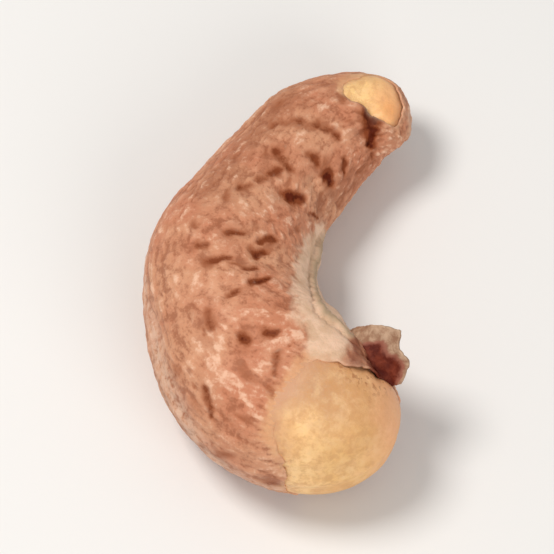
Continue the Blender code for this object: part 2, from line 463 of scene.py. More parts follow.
# Broad darker brown patches, which lie level, in the same way: partly the skin's own brown, partly
# painted shade, as along both edges of the upper arm
SHADES = (
    (0.095, 150, 0.130, 160, 0.95, 0.60),
    (0.180, 54, 0.400, 63, 1.35, 0.80),
    (0.108, 58, 0.114, 80, 0.50, 0.65),
    (0.030, 132, 0.055, 150, 0.70, 0.50),
    (0.085, 166, 0.235, 168, 0.75, 0.75),
    (0.200, 150, 0.314, 160, 1.05, 0.75),
    (0.235, 112, 0.247, 128, 0.80, 0.40),
    (0.284, 88, 0.328, 100, 0.90, 0.40),
    (0.333, 118, 0.343, 134, 0.80, 0.30),
    (0.075, 108, 0.085, 142, 0.75, 0.50),
    (0.489, 86, 0.567, 104, 1.00, 0.35),
    (0.640, 66, 0.682, 62, 0.90, 0.55),
    (0.478, 112, 0.500, 124, 0.70, 0.40),
    (0.590, 104, 0.640, 122, 0.90, 0.40),
    (0.709, 78, 0.730, 96, 0.80, 0.35),
    (0.730, 44, 0.788, 26, 0.90, 0.35),
)

# Raised pale marks, in the same way; their paleness is the painted highlight of the skin's crests
CRESTS = (
    (0.303, 55, 0.295, 55, 0.19, 0.50),
    (0.229, 90, 0.229, 94, 0.19, 0.50),
    (0.225, 102, 0.214, 106, 0.16, 0.60),
    (0.421, 107, 0.407, 114, 0.25, 0.60),
    (0.675, 84, 0.682, 85, 0.16, 0.50),
    (0.742, 69, 0.746, 69, 0.14, 0.50),
    (0.762, 58, 0.790, 47, 0.19, 0.80),
    (0.722, 63, 0.760, 65, 0.55, 0.42),
    (0.697, 70, 0.708, 68, 0.16, 0.50),
    (0.668, 70, 0.686, 66, 0.12, 0.40),
    (0.675, 78, 0.714, 63, 0.11, 0.40),
)

# The pale, smooth band in the crook: share along, where it starts and where its groove runs, degrees
BAND = (
    (0.284, 173, 182),
    (0.309, 169, 179),
    (0.361, 160, 172),
    (0.403, 154, 167),
    (0.455, 147, 166),
    (0.485, 144, 165),
    (0.541, 139, 160),
    (0.589, 134, 154),
    (0.621, 130, 150),
    (0.699, 117, 135),
    (0.725, 113, 131),
    (0.775, 108, 127),
    (0.803, 101, 127),
    (0.819, 95, 127),
    (0.848, 90, 127),
    (0.887, 92, 125),
    (0.905, 98, 124),
    (0.931, 124, 128),
)
# The dark hollows between the band and the torn flap, and the reddish patches round them: the skin's
# own dark red inside, with painted shade under the flap
HOLLOWS_BY_FLAP = ((0.967, 117, 0.988, 104, 0.52, 1.0), (0.972, 130, 0.992, 110, 0.62, 1.0))
RED_AND_SHADE_BY_FLAP = ((0.913, 101, 0.925, 132, 0.62, 0.50), (0.960, 105, 0.987, 92, 0.62, 1.0))
# The low seam along the back: share along and degrees
SEAM_PLACES, SEAM_DEGREES = (0.0, 0.35, 0.6, 0.7, 0.75, 0.8, 1.0), (0, 6, 12, 8, -4, -14, -20)
# In degrees: how far the band's border fades, how wide its groove is, and its lip's place and width
BAND_FADE, GROOVE_WIDTH, LIP_PLACE, LIP_WIDTH = 12, 2.1, 6.5, 4.0
BEND_SEEDS, FLUTTER_SEEDS = (3.1, 17.7, 41.3), (1.9, 13.3, 27.1)


def straightened(along, around):
    """Where each point would be if the nut were pulled out straight, for patterns that follow it."""
    girth = GIRTH * rounded_off(along * LENGTH)
    return np.stack([along * LENGTH, girth * np.cos(around), girth * np.sin(around)], axis=1)


def noise_at(points, sizes, seed=0.0):
    """Smooth noise from about -1 to 1, whose swells have this size, or these three, in millimetres."""
    scaled = points / np.asarray(sizes, float) + seed
    return np.array([noise.noise(Vector(p)) for p in scaled])


def cells_at(points, sizes, seed=0.0):
    """How far each point is from the nearest scattered dot, how much nearer that is than the next
    one, and a random number of that dot."""
    scaled = points / np.asarray(sizes, float) + seed
    apart, gap, lot = np.empty(len(points)), np.empty(len(points)), np.empty(len(points))
    for i, p in enumerate(scaled):
        distances, dots = noise.voronoi(Vector(p))
        apart[i] = distances[0]
        gap[i] = distances[1] - distances[0]
        lot[i] = noise.cell(dots[0] * 7.31) % 1.0
    return apart, gap, lot


def marked(along, around, marks, wander):
    """How strongly each point lies in the marks of a table, from 0 to 1, and how deep they go in mm.

    wander moves the points about a little, by three columns of noise, so that no edge is even.
    """
    strength, depth = np.zeros_like(along), np.zeros_like(along)
    for place, degrees, last_place, last_degrees, half_width, most in marks:
        girth = middle_line([place * LENGTH])[0, 2]
        aside = turned(around - math.radians(degrees)) * girth
        p = np.stack([(along - place) * LENGTH, aside], axis=1)
        p = p + wander[:, :2] * (0.12 + 0.30 * half_width)
        run = np.array([(last_place - place) * LENGTH, math.radians(last_degrees - degrees) * girth])
        share = np.clip(p @ run / max(run @ run, 1e-9), 0, 1)
        reach = np.linalg.norm(p - share[:, None] * run, axis=1)
        reach /= half_width * (1.25 + 0.5 * wander[:, 2]) * (1.15 - 0.3 * share)
        inside = most * np.exp(-(reach**2))
        strength = np.maximum(strength, inside)
        depth = np.maximum(depth, inside * (0.06 + 0.55 * half_width))
    return strength, depth


def banded(along, around, wander):
    """The pale band in the crook, the groove along it and the lip past the groove, each from 0 to 1."""
    places, starts, grooves = np.array(BAND, float).T
    degrees = np.degrees(around) % 360 + 3.0 * wander[:, 0]
    start, groove = np.interp(along, places, starts), np.interp(along, places, grooves)
    along_it = smooth_step(0.26, 0.33, along) * smooth_step(0.935, 0.915, along)
    border = degrees + 7.0 * wander[:, 1]
    pale = smooth_step(start - BAND_FADE, start + BAND_FADE, border)
    pale = pale * smooth_step(groove + 44, groove + 26, degrees) * along_it
    line = np.exp(-(((degrees - groove) / GROOVE_WIDTH) ** 2)) * along_it
    lip = np.exp(-(((degrees - groove - LIP_PLACE) / LIP_WIDTH) ** 2)) * along_it
    return pale, line, lip


def skin_relief(along, around):
    """The height of the skin's fine relief and how deep its marks are sunk, both in millimetres, and
    the values that colour it."""
    flat = straightened(along, around)
    bend = np.column_stack([noise_at(flat, 2.4, seed) for seed in BEND_SEEDS])
    flutter = np.column_stack([noise_at(flat, 0.55, seed) for seed in FLUTTER_SEEDS])
    flowing = flat + 0.8 * bend + 0.2 * flutter
    swell = noise_at(flowing, (3.4, 2.2, 2.2), 23.0)
    middling = noise_at(flowing, (1.7, 0.9, 0.9), 5.0)
    small = noise_at(flowing, (0.8, 0.5, 0.5), 9.0)
    # the leathery net: low pebbles with narrow valleys between them
    _, gap, lot = cells_at(flowing, (1.15, 0.68, 0.68), 2.0)
    pebble = smooth_step(0.0, 0.36, gap) * (0.6 + 0.4 * lot)
    _, small_gap, _ = cells_at(flowing, (0.62, 0.42, 0.42), 12.0)
    grit = smooth_step(0.0, 0.4, small_gap)
    # wrinkles that run lengthwise, strongest at the tip and on the back, most of all by the lobe
    folds = noise_at(flowing, (5.5, 0.55, 0.55), 31.0)
    low_back = smooth_step(0.60, 0.70, along) * smooth_step(-0.35, 0.3, np.cos(around - 0.45))
    folds_here = 0.18 + 0.82 * np.maximum(low_back, smooth_step(0.13, 0.03, along))
    folds_here = np.maximum(folds_here, 0.55 * smooth_step(0.1, 0.8, np.cos(around)))
    # scattered sunken flecks, fewer on the upper cheek, which has its own marks
    apart, _, draw = cells_at(flowing, (1.7, 1.05, 1.05), 57.0)
    hidden = 1 - smooth_step(-0.4, 0.1, np.sin(around))
    fleck = np.exp(-((apart / (0.18 + 0.16 * draw)) ** 2)) * (draw > 0.80 - 0.24 * hidden)
    fleck *= 0.5 + 0.5 * hidden
    pit, pit_depth = marked(along, around, PITS, flutter)
    pit = pit * (1 + 0.40 * noise_at(flat, 0.5, 47.0))
    crest, crest_height = marked(along, around, CRESTS, flutter)
    shade, _ = marked(along, around, SHADES, 2.0 * flutter)
    pale, groove, lip = banded(along, around, flutter)
    # Painted highlight: the very end of the tip is made pale
    pale = np.maximum(pale, 0.5 * np.exp(-((along / 0.011) ** 2)))
    # The hollows and reddish patches by the flap: partly painted shade under the flap
    hollow, _ = marked(along, around, HOLLOWS_BY_FLAP, flutter)
    red_and_shade, _ = marked(along, around, RED_AND_SHADE_BY_FLAP, flutter)
    red = np.maximum(hollow, red_and_shade)
    seam_at = np.radians(np.interp(along, SEAM_PLACES, SEAM_DEGREES))
    seam_width = 0.32 + 0.6 * smooth_step(0.5, 0.65, along)
    seam = np.exp(-((turned(around - seam_at) * GIRTH / seam_width) ** 2))
    # The groove's share of the dark marks is painted shade along the groove
    dark = np.clip(np.maximum(pit, 0.8 * fleck) + 0.65 * groove, 0, 1)
    dark = dark * (1 - 0.9 * pale * (1 - groove))
    fine = (
        0.050 * middling
        + 0.035 * small
        + 0.075 * (pebble - 0.5)
        + 0.030 * (grit - 0.5)
        + 0.085 * folds * folds_here
        - 0.10 * fleck
    )
    sunk = 0.85 * pit_depth * (1 - pale)
    relief = (
        0.05 * swell
        + fine * (1 - 0.8 * np.maximum(pale, hollow))
        - sunk
        + 0.35 * crest_height
        - 0.18 * groove
        + 0.17 * lip
        - 0.45 * hollow
        + 0.04 * seam
    )
    values = {
        "height": np.clip((fine / 0.08) + 0.25 * swell + 1.2 * crest, -1.6, 1.6),
        "dark": dark,
        "pale": pale * (1 - np.minimum(1, 1.7 * red)),
        "shade": shade * (1 - pale),
        "lip": lip,
        "red": red,
        "seam": seam,
    }
    return relief, sunk, values


# Where the skin is worn away

# A point is moved on to the cut if it is nearer than this share of its edge
CLOSE_SHARE = 0.3


def ways_at(along, around, step):
    """Points of the surface, and the ways towards the lobe and straight out there, one row each."""
    points = nut_surface(along, around, 0)
    forward = nut_surface(along + step, around, 0) - nut_surface(along - step, around, 0)
    over = nut_surface(along, around + 0.01, 0) - nut_surface(along, around - 0.01, 0)
    out = np.cross(forward, over)
    out /= np.linalg.norm(out, axis=1)[:, None]
    middle = middle_line(np.atleast_1d(along) * LENGTH)[:, :2]
    out *= np.sign(np.sum(out[:, :2] * (points[:, :2] - middle), axis=1))[:, None]
    return points, forward, out


def patch_frame(along, degrees):
    """The point of the surface here, and the ways towards the lobe and onwards round."""
    centre, forward, out = (rows[0] for rows in ways_at(along, math.radians(degrees), 0.01))
    forward = forward - out * (forward @ out)
    forward /= np.linalg.norm(forward)
    return centre, forward, np.cross(out, forward)


def from_patches(points):
    """For each point, how far outside the nearest worn patch it is in millimetres, below 0 inside,
    how soft the patch's edge is there, and the direction from the patch's middle."""
    nearest = np.full(len(points), FAR_FROM_PATCHES)
    softness, bearing = np.zeros(len(points)), np.zeros(len(points))
    for along, degrees, edge in PATCHES:
        centre, forward, onward = patch_frame(along, degrees)
        way = points - centre
        direction = np.degrees(np.arctan2(way @ onward, way @ forward))
        edges = np.array(edge, float)
        reach = np.interp(direction, edges[:, 0], edges[:, 1], period=360)
        soft = np.interp(direction, edges[:, 0], edges[:, 2], period=360)
        outside = np.linalg.norm(way, axis=1) - reach
        closer = outside < nearest
        nearest = np.where(closer, outside, nearest)
        softness = np.where(closer, soft, softness)
        bearing = np.where(closer, np.radians(direction), bearing)
    ragged = 0.22 * noise_at(points, 1.3, 71.0)
    ragged = ragged + 0.14 * noise_at(points, 0.5, 83.0)
    return nearest + ragged * (1.6 - 0.6 * softness), softness, bearing


def cut_along_zero(piece, name):
    """Cuts the piece cleanly along the line where its values of this name pass zero, and keeps what
    lies above it. Points close to that line are moved on to it first, so that no face is a sliver."""
    mesh = bmesh.new()
    mesh.from_mesh(piece.data)
    layer = mesh.verts.layers.float[name]
    moves = {}
    for edge in mesh.edges:
        a, b = edge.verts
        if (a[layer] > 0) == (b[layer] > 0):
            continue
        share = a[layer] / (a[layer] - b[layer])
        near, far, part = a, b, share
        if share >= 0.5:
            near, far, part = b, a, 1 - share
        if part < CLOSE_SHARE and (near not in moves or part < moves[near][0]):
            moves[near] = (part, near.co.lerp(far.co, part))
    for vert, (_, place) in moves.items():
        vert.co = place
        vert[layer] = 0.0
    for edge in list(mesh.edges):
        a, b = edge.verts
        if a[layer] * b[layer] < 0:
            share = a[layer] / (a[layer] - b[layer])
            _, made = bmesh.utils.edge_split(edge, a, share)
            made[layer] = 0.0
    for face in list(mesh.faces):
        if min(v[layer] for v in face.verts) < 0 < max(v[layer] for v in face.verts):
            on_line = [v for v in face.verts if v[layer] == 0]
            if len(on_line) == 2:
                bmesh.utils.face_split(face, on_line[0], on_line[1])
    gone = [f for f in mesh.faces if sum(v[layer] for v in f.verts) < 0]
    bmesh.ops.delete(mesh, geom=gone, context="FACES")
    keep_largest(mesh)
    mesh.to_mesh(piece.data)
    mesh.free()


def keep_largest(mesh):
    """Deletes every island of faces but the one with the most points."""
    left, islands = set(mesh.verts), []
    while left:
        start = left.pop()
        island, open_ends = {start}, [start]
        while open_ends:
            for edge in open_ends.pop().link_edges:
                for vert in edge.verts:
                    if vert in left:
                        left.discard(vert)
                        island.add(vert)
                        open_ends.append(vert)
        islands.append(island)
    islands.sort(key=len)
    bmesh.ops.delete(mesh, geom=[v for island in islands[:-1] for v in island], context="VERTS")


# Finishes. The tints are screen colours: red, green and blue from 0 to 255

SKIN_TINTS = {
    "tan": (198, 130, 98),
    "rose": (207, 149, 115),
    "pale cloud": (226, 172, 138),
    "shade": (164, 102, 72),
    # painted highlight on the fine relief's crests, and painted shade in its valleys
    "crest": (240, 196, 166),
    "valley": (146, 84, 56),
    # painted highlight along the back seam's ridge
    "seam highlight": (226, 192, 168),
    # browns of the pits and flecks, also laid as painted shade in the groove
    "mark tan and groove shade": (156, 88, 54),
    "mark brown and groove shade": (122, 56, 24),
    "pit brown": (88, 28, 6),
    "thin tan": (214, 158, 116),
    "thin yellow": (226, 178, 132),
    "cream": (214, 177, 145),
    "light cream": (234, 196, 167),
    # the lip's own grey, with painted shade
    "grey lip and shade": (168, 144, 114),
    "torn edge": (228, 188, 156),
    "mauve": (146, 88, 66),
    "dark red": (100, 36, 20),
}
INSIDE_TINTS = {"dark": (104, 46, 32), "light": (150, 82, 58)}
FLAP_TINTS = {
    "dark red": (84, 24, 12),
    "red": (122, 52, 32),
    "mauve": (152, 94, 76),
    "dry brown": (156, 118, 92),
    "dry cream": (198, 166, 138),
}
FLESH_TINTS = {
    "shaded tan": (198, 150, 108),
    "tan": (222, 170, 120),
    "low yellow": (236, 188, 122),
    # the kernel's yellow with a painted highlight
    "yellow and painted highlight": (255, 212, 152),
    # the tip's golden yellow, brightened as painted light
    "tip yellow and painted light": (255, 213, 146),
    "pale cloud": (236, 196, 146),
    "orange stain": (242, 158, 62),
    "dark streak": (206, 150, 94),
    "pale streak": (236, 196, 144),
    "broad tan": (210, 152, 98),
    # the lobe's own orange, with painted light on its right side
    "orange and painted light": (240, 172, 122),
    "film": (204, 151, 114),
    "rim brown": (150, 88, 52),
    "flake": (160, 94, 50),
}


def linear(tint):
    """Blender's linear colour for a screen colour."""
    shares = [part / 255 for part in tint]
    parts = [c / 12.92 if c <= 0.04045 else ((c + 0.055) / 1.055) ** 2.4 for c in shares]
    return (*parts, 1.0)


class Link:
    """A socket that can be added to and multiplied, with the nodes made as needed."""

    def __init__(self, finish, socket):
        self.finish, self.socket = finish, socket

    def __add__(self, other):
        return self.finish.math("ADD", self, other)

    __radd__ = __add__

    def __sub__(self, other):
        return self.finish.math("SUBTRACT", self, other)

    def __rsub__(self, other):
        return self.finish.math("SUBTRACT", other, self)

    def __mul__(self, other):
        return self.finish.math("MULTIPLY", self, other)

    __rmul__ = __mul__


class Finish:
    """One procedural material: its nodes are made by node(), its sums by ordinary expressions."""

    def __init__(self, name, tints):
        self.material = bpy.data.materials.new(name)
        self.material.use_nodes = True
        self.tree = self.material.node_tree
        self.shader = self.tree.nodes["Principled BSDF"]
        self.tints = {key: linear(tint) for key, tint in tints.items()}

    def node(self, kind, settings=None, sockets=None, out=0):
        """Adds a node, sets it, then feeds its sockets; gives the output that out names."""
        made = self.tree.nodes.new(kind)
        for key, value in (settings or {}).items():
            setattr(made, key, value)
        for key, value in (sockets or {}).items():
            self.feed(made.inputs[key], value)
        return Link(self, made.outputs[out])

    def feed(self, socket, value):
        if isinstance(value, Link):
            self.tree.links.new(value.socket, socket)
        else:
            socket.default_value = value

    def math(self, operation, a, b):
        return self.node("ShaderNodeMath", {"operation": operation}, {0: a, 1: b})

    def value(self, name):
        """The number that the piece keeps under this name."""
        return self.node("ShaderNodeAttribute", {"attribute_name": name}, out="Fac")

    def step(self, low, high, x):
        return self.node(
            "ShaderNodeMapRange",
            {"interpolation_type": "SMOOTHSTEP", "clamp": True},
            {"Value": x, "From Min": low, "From Max": high, "To Min": 0.0, "To Max": 1.0},
        )

    def mix(self, share, a, b):
        return self.node("ShaderNodeMix", {"data_type": "RGBA"}, {"Factor": share, 6: a, 7: b}, out=2)

    def between(self, first, second, share):
        """A colour that runs from one tint to another."""
        return self.mix(share, self.tints[first], self.tints[second])

    def coat(self, under, tint, share):
        """The colour so far with a tint laid over it, as thickly as share says."""
        return self.mix(share, under, self.tints[tint])

    def place(self, axis=None):
        """Where each point of the surface is in the object, or how far that is along one axis."""
        place = self.node("ShaderNodeTexCoord", out="Object")
        if axis is None:
            return place
        return self.node("ShaderNodeSeparateXYZ", None, {"Vector": place}, out=axis)

    def noise(self, size_mm, detail=2.0, rough=0.5, warp=0.0):
        sockets = {
            "Vector": self.place(),
            "Scale": 1 / (size_mm * MM),
            "Detail": detail,
            "Roughness": rough,
            "Distortion": warp,
        }
        return self.node("ShaderNodeTexNoise", {"noise_dimensions": "3D"}, sockets)

    def bump(self, height, distance_mm, strength, under=None):
        sockets = {"Height": height, "Distance": distance_mm * MM, "Strength": strength}
        if under is not None:
            sockets["Normal"] = under
        return self.node("ShaderNodeBump", None, sockets)

    def finish(self, sockets):
        """Feeds the shader's own sockets, and gives the finished material."""
        for key, value in sockets.items():
            self.feed(self.shader.inputs[key], value)
        return self.material


def skin_outside():
    """Thin leathery skin: dull pinkish brown, paler where it is rubbed thin, with painted highlight on
    its crests and seam and painted shade in its valleys, groove, lip, broad patches and the hollows by
    the flap.
    """
    made = Finish("skin_outside", SKIN_TINTS)
    height, dark, pale = made.value("height"), made.value("dark"), made.value("pale")
    film, edge, seam = made.value("film"), made.value("edge"), made.value("seam")
    red, shade, lip = made.value("red"), made.value("shade"), made.value("lip")
    broad = made.noise(4.0, 2.0, 0.5)
    cloud = made.noise(1.4, 3.0, 0.6, 0.3)
    mottle = made.noise(0.55, 3.0, 0.65, 0.3)
    grain = made.noise(0.16, 2.0, 0.6)
    colour = made.between("tan", "rose", made.step(0.35, 0.65, broad))
    colour = made.coat(colour, "pale cloud", made.step(0.45, 0.7, cloud) * 0.35)
    # Broad brown patches: partly the skin's own brown, partly painted shade
    shaded = shade + (cloud - 0.5) * 0.8 * made.step(0.0, 0.3, shade)
    colour = made.coat(colour, "shade", made.step(0.1, 1.0, shaded) * 0.75)
    # Painted highlight and shade: the fine relief's height, mixed with random mottle, makes its crests
    # paler and its valleys darker
    tall = height + (mottle - 0.5) * 2.6 + (grain - 0.5) * 1.4
    colour = made.coat(colour, "crest", made.step(0.15, 1.35, tall) * 0.75)
    colour = made.coat(colour, "valley", made.step(0.05, -1.1, tall) * 0.65)
    # Painted highlight: paler in patches along the ridge of the back seam
    colour = made.coat(colour, "seam highlight", seam * made.step(0.3, 0.6, mottle) * 0.65)
    # Pits and flecks in their own browns, and painted shade along the groove
    worn = dark * 1.25 + (mottle - 0.5) * made.step(0.0, 0.25, dark) + (grain - 0.5) * 0.3
    colour = made.coat(colour, "mark tan and groove shade", made.step(0.05, 0.5, worn) * 0.6)
    colour = made.coat(colour, "mark brown and groove shade", made.step(0.35, 0.85, worn) * 0.9)
    colour = made.coat(colour, "pit brown", made.step(0.9, 1.3, worn))
    thin = made.between("thin tan", "thin yellow", made.step(0.4, 0.65, cloud))
    rubbed = made.step(0.2, 0.9, film + (mottle - 0.5) * 0.7) * 0.9
    colour = made.mix(rubbed * (1 - made.step(0.2, 0.6, dark)), colour, thin)
    cream = made.between("cream", "light cream", made.step(0.35, 0.65, cloud))
    creamy = pale + (cloud - 0.5) * 0.9 + (mottle - 0.5) * 0.9 * (1 - pale)
    colour = made.mix(made.step(0.1, 0.95, creamy), colour, cream)
    # The lip past the groove: its own greyer skin, darkened as painted shade where it turns from the
    # light
    colour = made.coat(colour, "grey lip and shade", lip * 0.85)
    colour = made.coat(colour, "torn edge", edge * 0.6)
    # Mauve and dark red by the flap: the skin's own red inside, and painted shade in the hollows under
    # the flap
    colour = made.coat(colour, "mauve", made.step(0.1, 0.6, red + (mottle - 0.5) * 0.4))
    colour = made.coat(colour, "dark red", made.step(0.45, 0.85, red + (mottle - 0.5) * 0.3))
    relief = made.bump(grain, 0.035, 0.8)
    return made.finish(
        {
            "Base Color": colour,
            "Roughness": 0.52 + (grain - 0.5) * 0.35 + dark * 0.15,
            "Normal": made.bump(mottle, 0.10, 0.6, relief),
            "Specular IOR Level": 0.12,
            "Subsurface Weight": 0.06,
            "Subsurface Radius": (0.6 * MM, 0.3 * MM, 0.2 * MM),
        }
    )


def skin_inside():
    """The inner side of the skin, and the faces of its torn edges."""
    made = Finish("skin_inside", INSIDE_TINTS)
    mottle = made.noise(0.5, 3.0, 0.6)
    return made.finish(
        {
            "Base Color": made.between("dark", "light", made.step(0.35, 0.65, mottle)),
            "Roughness": 0.7,
            "Normal": made.bump(mottle, 0.08, 0.6),
        }
    )


def flap_finish():
    """The torn flap: dark red-brown low down on its inner side, partly painted shade in the hollow
    under it, and pale and dry towards its edge, partly painted light on the lit edge.
    """
    made = Finish("flap_finish", FLAP_TINTS)
    dry = made.value("dry")
    mottle = made.noise(0.5, 3.0, 0.6, 0.3)
    grain = made.noise(0.15, 2.0, 0.6)
    drier = dry + (mottle - 0.5) * 0.6
    # Dark red low down: the inner side's own red, with painted shade in the hollow under the flap
    colour = made.between("dark red", "red", made.step(0.3, 0.7, mottle))
    colour = made.coat(colour, "mauve", made.step(0.05, 0.5, drier))
    # Paler towards the edge: dried skin, with painted light on the lit edge
    pale = made.between("dry brown", "dry cream", made.step(0.3, 0.7, mottle))
    relief = made.bump(mottle, 0.1, 0.6)
    return made.finish(
        {
            "Base Color": made.mix(made.step(0.45, 0.95, drier), colour, pale),
            "Roughness": 0.6,
            "Normal": made.bump(grain, 0.03, 0.7, relief),
            "Specular IOR Level": 0.2,
        }
    )


def kernel_flesh():
    """The bare kernel: pale yellow and slightly waxy, browner towards the edges of the skin, with
    painted light and shade laid across it to even out how the lamps fall.
    """
    made = Finish("kernel_flesh", FLESH_TINTS)
    side, ahead = made.place("X"), made.place("Y")
    film, rim = made.value("film"), made.value("edge")
    broad = made.noise(3.0, 2.0, 0.5)
    cloud = made.noise(1.1, 3.0, 0.6, 0.3)
    mottle = made.noise(0.45, 3.0, 0.65)
    grain = made.noise(0.16, 2.0, 0.6)
    streaks = made.noise(0.7, 3.0, 0.75, 0.2)
    # Painted light and shade: darker tan on the left, lighter on the right, to even out how the lamps
    # fall
    colour = made.between("shaded tan", "tan", made.step(2.0 * MM, 6.0 * MM, side))
    # Yellower low on the lobe and tan higher up: partly the kernel's own colour, partly painted shade
    # that darkens the upper part against the lamp
    low = made.step(-10.8 * MM, -14.0 * MM, ahead + (broad - 0.5) * 6.0 * MM)
    colour = made.coat(colour, "low yellow", low)
    # Bright yellow low on the left of the lobe: its own yellow, with a painted highlight
    left = made.step(3.6 * MM, 1.4 * MM, side + (cloud - 0.5) * 4.0 * MM)
    low_left = left * made.step(-10.4 * MM, -12.4 * MM, ahead)
    colour = made.coat(colour, "yellow and painted highlight", low_left * 0.8)
    # Golden yellow over the tip: its own colour, brightened as painted light where the tip slopes from
    # the lamps
    colour = made.coat(colour, "tip yellow and painted light", made.step(7.0 * MM, 10.0 * MM, ahead))
    colour = made.coat(colour, "pale cloud", made.step(0.45, 0.7, cloud) * 0.4)
    colour = made.coat(colour, "orange stain", made.value("stain") * 0.9)
    colour = made.coat(colour, "dark streak", made.step(0.60, 0.32, streaks) * 0.6)
    colour = made.coat(colour, "pale streak", made.step(0.48, 0.74, streaks) * 0.4)
    colour = made.coat(colour, "broad tan", made.step(0.52, 0.36, broad) * 0.35)
    # Lighter towards the right: the lobe's own orange, with painted light where the lamps leave that
    # side dark
    right = made.step(4.5 * MM, 8.0 * MM, side + (broad - 0.5) * 4.0 * MM)
    colour = made.coat(colour, "orange and painted light", right * 0.75)
    filmed = made.step(0.05, 1.0, film + (mottle - 0.5) * 0.6)
    colour = made.coat(colour, "film", filmed * 0.9)
    colour = made.coat(colour, "rim brown", rim * 0.55)
    flaky = made.step(0.53, 0.63, made.noise(0.36, 2.0, 0.6))
    flaky = flaky * made.step(0.15, 0.7, made.value("near_skin"))
    colour = made.coat(colour, "flake", flaky * 0.6)
    relief = made.bump(mottle, 0.07, 0.6)
    return made.finish(
        {
            "Base Color": colour,
            "Roughness": 0.48 + (grain - 0.5) * 0.2,
            "Normal": made.bump(grain, 0.015, 0.6, relief),
            "Specular IOR Level": 0.35,
            "Subsurface Weight": 0.15,
            "Subsurface Radius": (1.0 * MM, 0.6 * MM, 0.25 * MM),
        }
    )


# The skin, its flap and the kernel

# Shares of the way along: where the lobe begins, where the tip ends, where the kernel is flaky
LOBE_FROM, TIP_UNTIL, KERNEL_FLAKES_FROM = 0.75, 0.3, 0.5
# The orange spot on the bare tip: share along and radians round, and its radius in mm
ORANGE_SPOT, ORANGE_RADIUS = (0.031, math.radians(94)), 0.75


def lying(points, lowest=0.0):
    """The points with none of them below the table, in millimetres."""
    points[:, 2] = np.maximum(points[:, 2], lowest)
    return points


def apply_modifier(piece, kind, **settings):
    """Gives the piece a modifier with these settings, and applies it."""
    modifier = piece.modifiers.new(kind.title(), kind)
    for key, value in settings.items():
        setattr(modifier, key, value)
    deselect_all()
    piece.select_set(True)
    bpy.context.view_layer.objects.active = piece
    bpy.ops.object.modifier_apply(modifier=modifier.name)


def make_skin():
    """The skin, worn away in its patches, with its torn edges standing a little off the kernel."""
    skin, along, around = quad_ball("skin_coat")
    base = nut_surface(along, around, 0.0)
    place_points(skin, base)
    relief, sunk, values = skin_relief(along, around)
    out = normals_of(skin)
    torn, soft, bearing = from_patches(base)
    outside = np.maximum(torn, 0)
    waver = 3 * noise_at(base, 1.5, 91.0)
    gathers = GATHER_HEIGHT * np.sin(GATHERS_ROUND * bearing + waver)
    gathers *= soft * (along > LOBE_FROM) * np.exp(-((outside - GATHER_PLACE) / GATHER_WIDTH) ** 2)
    lifted = (1 - soft) * TORN_LIFT * np.exp(-outside / TORN_LIFT_WIDTH)
    rubbed = soft * np.exp(-((outside / RUBBED_WIDTH) ** 2))
    relief = (relief + sunk) * (1 - 0.8 * rubbed) - sunk - RUBBED_DEPTH * rubbed + lifted + gathers
    place_points(skin, lying(base + out * relief[:, None]))
    values["height"] = np.clip(values["height"] + 9 * gathers, -1.6, 1.6)
    values["film"] = rubbed
    values["edge"] = (1 - soft) * np.exp(-outside / TORN_RIM_WIDTH)
    values["torn"] = torn
    for name, numbers in values.items():
        keep_values(skin, name, numbers)
    cut_along_zero(skin, "torn")
    skin.data.materials.append(skin_outside())
    skin.data.materials.append(skin_inside())
    apply_modifier(
        skin,
        "SOLIDIFY",
        thickness=SKIN_THICKNESS * MM,
        offset=-1,
        use_rim=True,
        material_offset=1,
        material_offset_rim=0,
    )
    skin.data.shade_smooth()
    return skin


def make_kernel():
    """The kernel, smooth where it is bare and following the skin's larger swells under it."""
    kernel, along, around = quad_ball("kernel_body")
    base = nut_surface(along, around, KERNEL_INSET)
    place_points(kernel, base)
    relief, sunk, _ = skin_relief(along, around)
    torn, soft, _ = from_patches(nut_surface(along, around, 0.0))
    inside = np.minimum(torn, 0)
    covered = (1 - soft) * smooth_step(-0.5, 0.3, torn) + soft * smooth_step(0.1, 1.3, torn)
    flat = straightened(along, around)
    bare = 0.05 * noise_at(flat, (2.6, 1.2, 1.2), 55.0)
    bare = bare + 0.022 * noise_at(flat, (0.9, 0.5, 0.5), 57.0)
    out = normals_of(kernel)
    lower = np.minimum(relief, 0.02) * covered - 0.05 * covered * (1 - soft)
    lower = np.minimum(lower, -sunk - 0.05 * smooth_step(0.02, 0.1, sunk))
    raised = lower + bare * (1 - covered)
    place_points(kernel, lying(base + out * raised[:, None], SKIN_THICKNESS))
    film_reach = np.where(along < TIP_UNTIL, 0.45, 1.1)
    near_skin = (along > KERNEL_FLAKES_FROM) * (1 - 0.9 * soft) * np.exp(inside / 1.5)
    spot = nut_surface(*ORANGE_SPOT, 0.0)
    keep_values(kernel, "edge", (1 - soft) * np.exp(-((torn / 0.22) ** 2)))
    keep_values(kernel, "film", soft * np.exp(inside / film_reach))
    keep_values(kernel, "near_skin", near_skin)
    from_spot = np.linalg.norm(base - spot, axis=1)
    keep_values(kernel, "stain", np.exp(-((from_spot / ORANGE_RADIUS) ** 2)))
    kernel.data.materials.append(kernel_flesh())
    kernel.data.shade_smooth()
    return kernel


# The torn flap beside the crook: its root from (share along, degrees) to (share along, degrees)
FLAP_ROOT = ((0.900, 166.8), (0.990, 114.0))
FLAP_ROOT_DEPTH, FLAP_THICKNESS = 0.45, 0.16
FLAP_LEAN = 40.0
